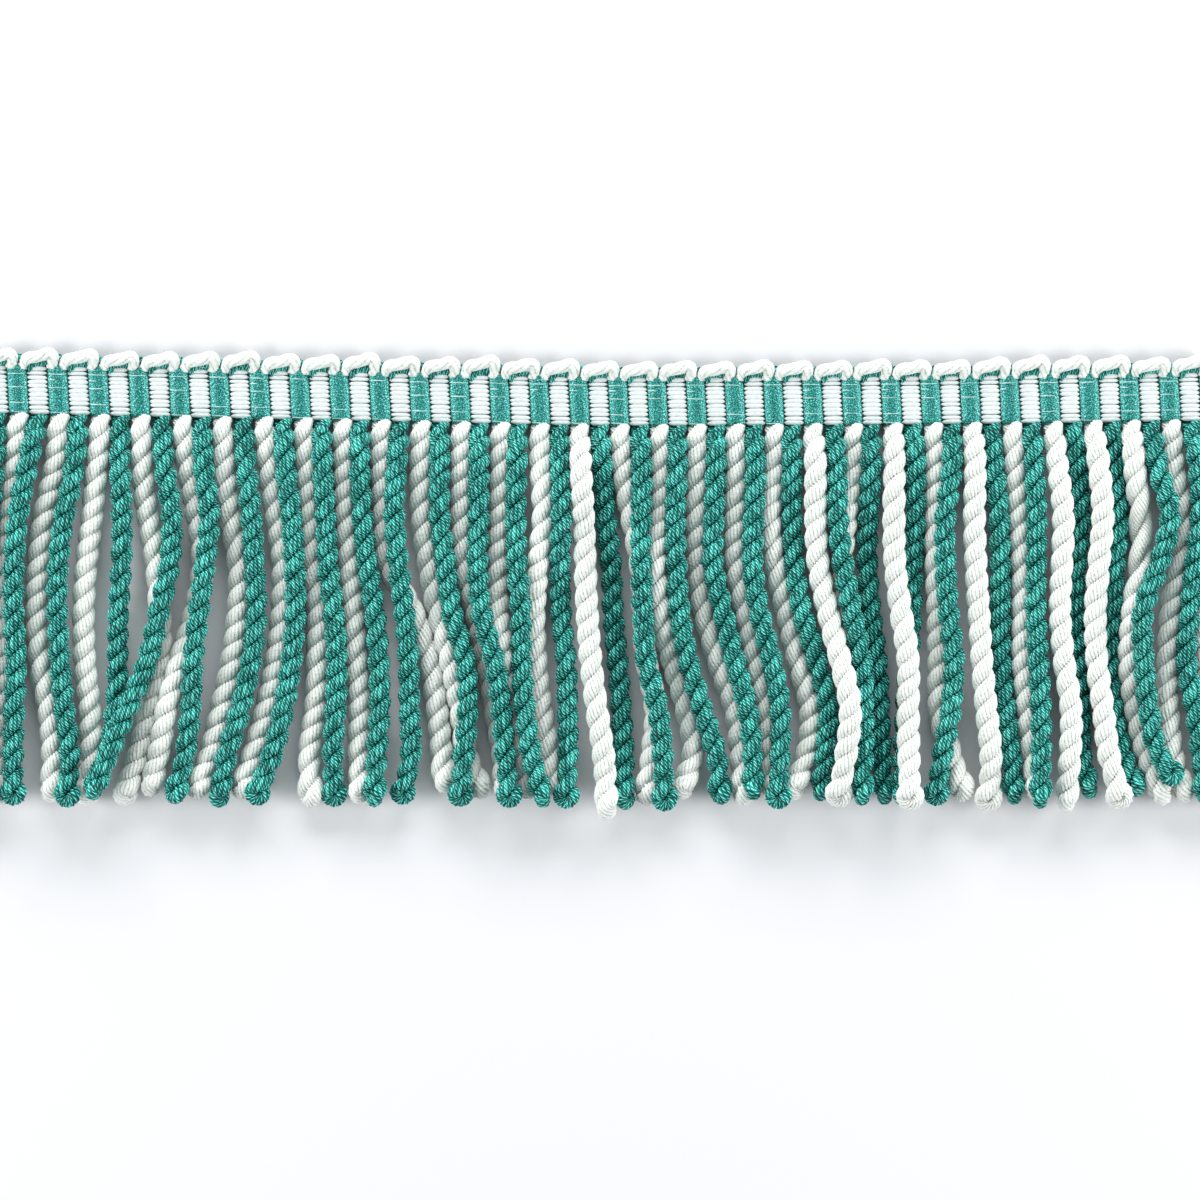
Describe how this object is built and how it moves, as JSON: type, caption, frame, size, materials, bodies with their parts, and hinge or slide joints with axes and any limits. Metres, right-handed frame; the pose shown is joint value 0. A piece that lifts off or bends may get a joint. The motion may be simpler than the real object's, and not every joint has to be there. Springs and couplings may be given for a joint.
{
  "type": "bullion fringe",
  "caption": "Straight length of two-colour bullion fringe: a narrow ribbed woven heading with looped top edge and a skirt of twisted cords ending in closed loops.",
  "frame": {"origin": "middle of the heading's flat back, at the middle rib", "axes": "+X along the heading, +Y up past the heading's top edge so that the cords fall towards -Y, +Z out of the face"},
  "size_m": [0.2636, 0.0955, 0.0119],
  "materials": {
    "heading_weave": "woven rep band with alternate matte white and satin teal upright ribs",
    "teal_yarn": "satin two-ply yarn with small bright flecks",
    "white_yarn": "matte soft spun yarn, slightly fuzzy"
  },
  "bodies": {
    "root": {"heading": "heading_weave", "teal_cords": "teal_yarn", "white_cords": "white_yarn", "white_loops": "white_yarn", "teal_loops": "teal_yarn"}
  },
  "joints": []
}
